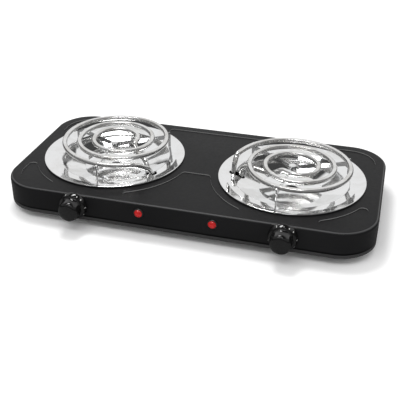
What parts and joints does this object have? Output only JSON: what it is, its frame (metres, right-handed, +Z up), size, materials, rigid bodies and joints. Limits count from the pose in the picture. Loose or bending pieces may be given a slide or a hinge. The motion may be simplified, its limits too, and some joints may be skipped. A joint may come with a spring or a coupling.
{
  "type": "hot plate burner",
  "caption": "Table-top electric hot plate: black pressed-steel housing with coil elements over chromed drip bowls, front control knobs and red indicator lamps.",
  "frame": {"origin": "on the surface that the feet stand on, under the middle of the whole object, knobs and cable gland included", "axes": "+X along the housing's long side, to the right when facing the knobs; the knobs face -Y; +Z up"},
  "size_m": [0.48, 0.2622, 0.0699],
  "materials": {
    "enamelled_housing": "satin",
    "base_steel": "satin",
    "chromed_bowl": "polished",
    "element_sheath": "satin",
    "chromed_support": "satin",
    "zinc_steel": "plated",
    "brass_tag": "satin",
    "white_ceramic": "matt, ceramic",
    "knob_plastic": "gloss",
    "bezel_plastic": "gloss",
    "red_lens": "gloss, translucent",
    "neon_glass": "clear",
    "foot_rubber": "matt",
    "block_plastic": "matt",
    "gland_plastic": "matt",
    "supply_insulation": "satin",
    "neutral_insulation": "satin",
    "earth_insulation": "satin",
    "lead_insulation": "satin"
  },
  "bodies": {
    "hot_plate": {"top_housing": "enamelled_housing", "base_plate": "base_steel", "drip_bowl_left": "chromed_bowl", "drip_bowl_right": "chromed_bowl", "coil_element_left": "element_sheath", "coil_element_right": "element_sheath", "coil_support_left": "chromed_support", "coil_support_right": "chromed_support", "housing_brackets": "zinc_steel", "element_bracket_left": "zinc_steel", "element_bracket_right": "zinc_steel", "base_screws": "zinc_steel", "foot_screws": "zinc_steel", "foot_nuts": "zinc_steel", "thermostat_screws": "zinc_steel", "terminal_block_screws": "zinc_steel", "earth_screw": "zinc_steel", "earth_tag": "zinc_steel", "terminal_pins_left": "zinc_steel", "terminal_pins_right": "zinc_steel", "lamp_clip_left": "zinc_steel", "lamp_clip_right": "zinc_steel", "thermostat_tags": "brass_tag", "terminal_insulators_left": "white_ceramic", "terminal_insulators_right": "white_ceramic", "thermostat_left": "white_ceramic", "thermostat_right": "white_ceramic", "lamp_bezel_left": "bezel_plastic", "lamp_bezel_right": "bezel_plastic", "lamp_lens_left": "red_lens", "lamp_lens_right": "red_lens", "neon_lamp_left": "neon_glass", "neon_lamp_right": "neon_glass", "rubber_feet": "foot_rubber", "terminal_block": "block_plastic", "cable_gland": "gland_plastic", "supply_wires": "supply_insulation", "element_wires": "supply_insulation", "neutral_wires": "neutral_insulation", "earth_wire": "earth_insulation", "lamp_leads": "lead_insulation"},
    "knob_left": {"knob_left": "knob_plastic", "thermostat_shaft_left": "zinc_steel"},
    "knob_right": {"knob_right": "knob_plastic", "thermostat_shaft_right": "zinc_steel"}
  },
  "joints": [
    {"name": "knob_left_turn", "type": "hinge", "parent": "hot_plate", "child": "knob_left", "pos_m": [-0.133, -0.1196, 0.0305], "axis": [0, 1, 0], "range_deg": [0, 280]},
    {"name": "knob_right_turn", "type": "hinge", "parent": "hot_plate", "child": "knob_right", "pos_m": [0.133, -0.1196, 0.0305], "axis": [0, 1, 0], "range_deg": [0, 280]}
  ]
}
